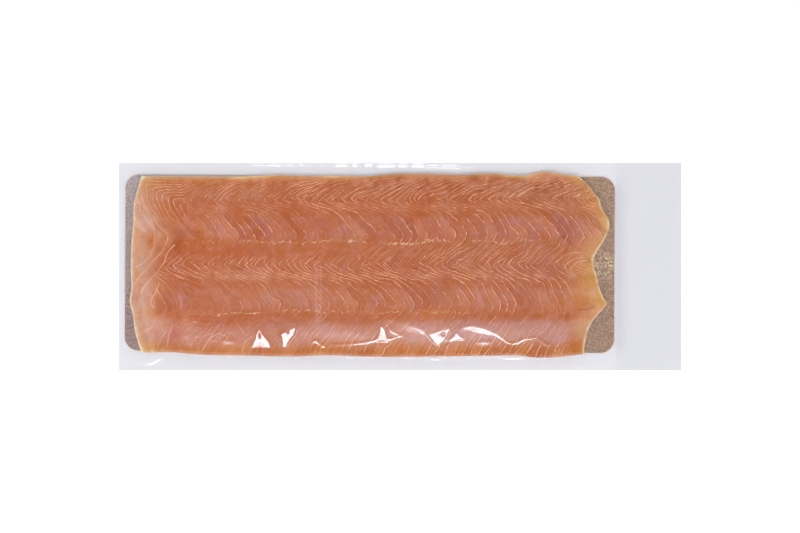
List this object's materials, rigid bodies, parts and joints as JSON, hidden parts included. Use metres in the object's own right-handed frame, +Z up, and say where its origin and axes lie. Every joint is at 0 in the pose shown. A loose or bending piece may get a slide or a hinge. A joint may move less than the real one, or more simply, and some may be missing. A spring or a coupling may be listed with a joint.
{
  "type": "pack of smoked salmon",
  "caption": "Long sliced side of smoked salmon on a gold card board, vacuum packed in a clear flat pouch with a wide flat margin past the tail end.",
  "frame": {"origin": "middle of the pouch's flat underside", "axes": "+X along the pack towards the tail end of the fish, +Y across it towards the back of the fish, +Z up out of the cut side"},
  "size_m": [0.55, 0.203, 0.015],
  "materials": {
    "clear_film": "clear vacuum film, glossy, faintly lavender over a white ground, slack in small creases at the margins",
    "gold_laminate": "card laminated with dull gold metallised film, fine embossed grain",
    "smoked_flesh": "moist cold-smoked fish flesh, orange with pale fat lines in chevrons, paler and yellower along its edges"
  },
  "bodies": {
    "root": {"film_bottom": "clear_film", "gold_board": "gold_laminate", "salmon": "smoked_flesh", "film_top": "clear_film"}
  },
  "joints": []
}
